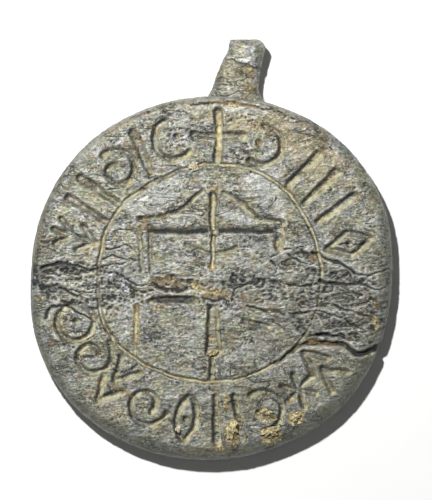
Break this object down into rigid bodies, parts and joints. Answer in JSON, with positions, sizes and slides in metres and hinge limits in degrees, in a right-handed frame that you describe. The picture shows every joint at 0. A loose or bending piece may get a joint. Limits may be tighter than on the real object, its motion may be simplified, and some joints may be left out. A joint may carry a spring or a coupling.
{
  "type": "lead seal matrix",
  "caption": "Round cast lead seal matrix with a sunk cross device, an ornament border, a short pierced lug and burial earth.",
  "frame": {"origin": "centre of the flat back of the disc", "axes": "+Z out of the engraved face, +Y from the disc's centre towards the lug, +X to the right as the face is read"},
  "size_m": [0.0365, 0.0423, 0.0049],
  "materials": {
    "weathered_lead": "satin",
    "pale_grit": "matte",
    "ochre_earth": "matte"
  },
  "bodies": {
    "root": {"seal_casting": "weathered_lead", "ring_grit_grain": "pale_grit", "border_grit_grain": "pale_grit", "stem_earth_crust": "ochre_earth", "lower_earth_crust": "ochre_earth", "inner_earth_crust": "ochre_earth", "outer_earth_crust": "ochre_earth", "side_earth_crust": "ochre_earth"}
  },
  "joints": []
}
